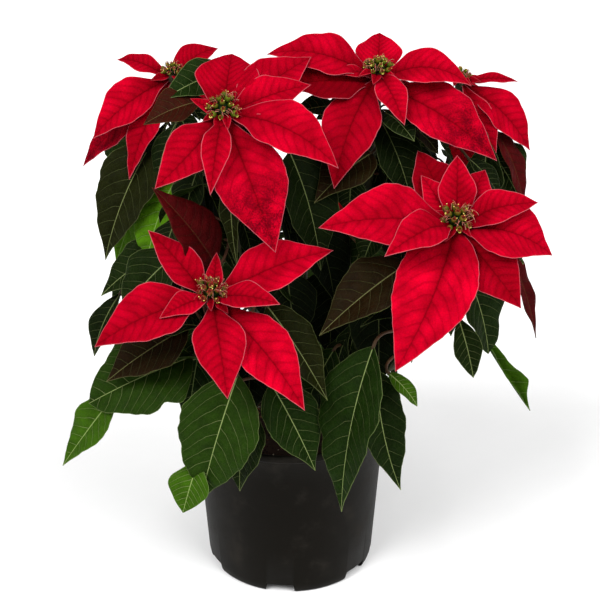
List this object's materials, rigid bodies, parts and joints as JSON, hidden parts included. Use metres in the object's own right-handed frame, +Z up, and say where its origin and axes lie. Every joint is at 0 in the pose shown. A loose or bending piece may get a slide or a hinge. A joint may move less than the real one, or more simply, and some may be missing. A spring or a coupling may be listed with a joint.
{
  "type": "potted poinsettia",
  "caption": "Red poinsettia in a black plastic nursery pot: branching green and bronze foliage under open crowns of pointed red bracts.",
  "frame": {"origin": "centre of the pot's underside at ground level", "axes": "+Z up along the pot axis, -Y towards the plant's display side"},
  "size_m": [0.306, 0.262, 0.3676],
  "materials": {
    "pot": "satin black moulding",
    "soil": "moist granular peat",
    "trunk": "young woody bark",
    "foliage": "dark green leaves, paler veins and margins, some bronze",
    "bracts": "velvety red bracts, darker veins, thin pale margin",
    "cyathia": "small green flowers with yellow glands"
  },
  "bodies": {
    "root": {"pot": "pot", "soil": "soil", "trunk": "trunk", "stem_A": "foliage", "bracts_A": "bracts", "cyathia_A": "cyathia", "stem_B": "foliage", "bracts_B": "bracts", "cyathia_B": "cyathia", "stem_C": "foliage", "bracts_C": "bracts", "cyathia_C": "cyathia", "stem_D": "foliage", "bracts_D": "bracts", "cyathia_D": "cyathia", "stem_E": "foliage", "bracts_E": "bracts", "cyathia_E": "cyathia", "stem_F": "foliage", "bracts_F": "bracts", "cyathia_F": "cyathia", "stem_H": "foliage", "bracts_H": "bracts", "cyathia_H": "cyathia"}
  },
  "joints": []
}
